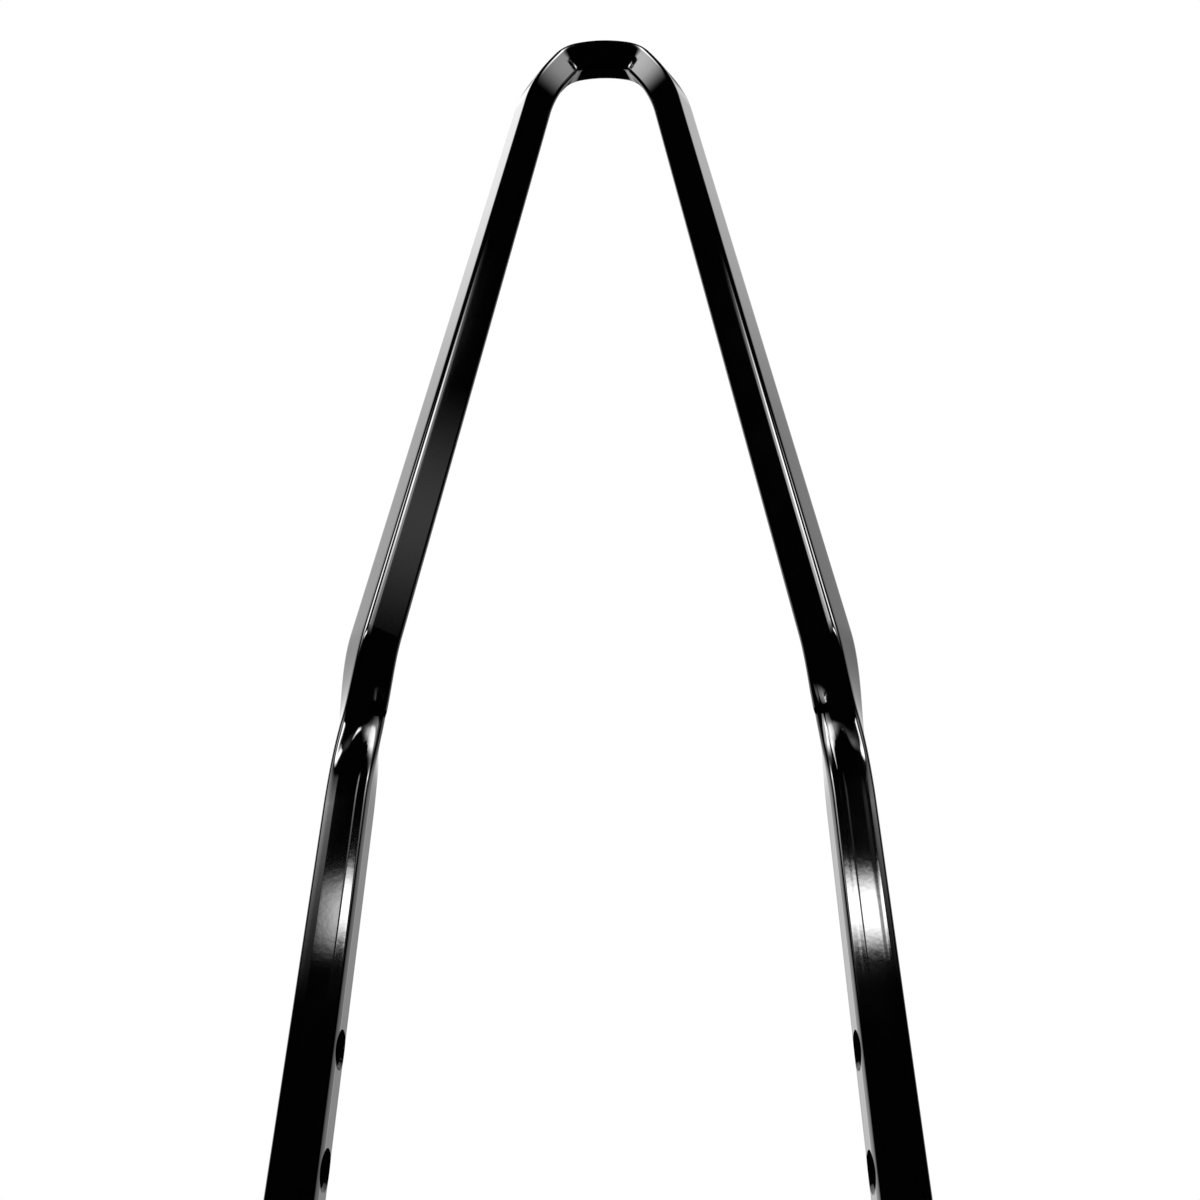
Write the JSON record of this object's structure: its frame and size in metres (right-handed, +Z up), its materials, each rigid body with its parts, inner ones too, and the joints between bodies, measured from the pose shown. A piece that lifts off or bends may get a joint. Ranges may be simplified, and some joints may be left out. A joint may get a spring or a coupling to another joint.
{
  "type": "sissy bar",
  "caption": "Tall narrow motorcycle sissy bar bent from one gloss black square tube, with twisted knees and bolt holes through its lower legs.",
  "frame": {"origin": "midway between the two legs' pairs of bolt holes, at their mid height and in the middle of the lower tubes", "axes": "+Z up the lower legs to the arch, +X to the right leg, -Y the front face that leans and turns towards the viewer"},
  "size_m": [0.2374, 0.0402, 0.706],
  "materials": {
    "black_powder_coat": "gloss"
  },
  "bodies": {
    "root": {"bar": "black_powder_coat"}
  },
  "joints": []
}
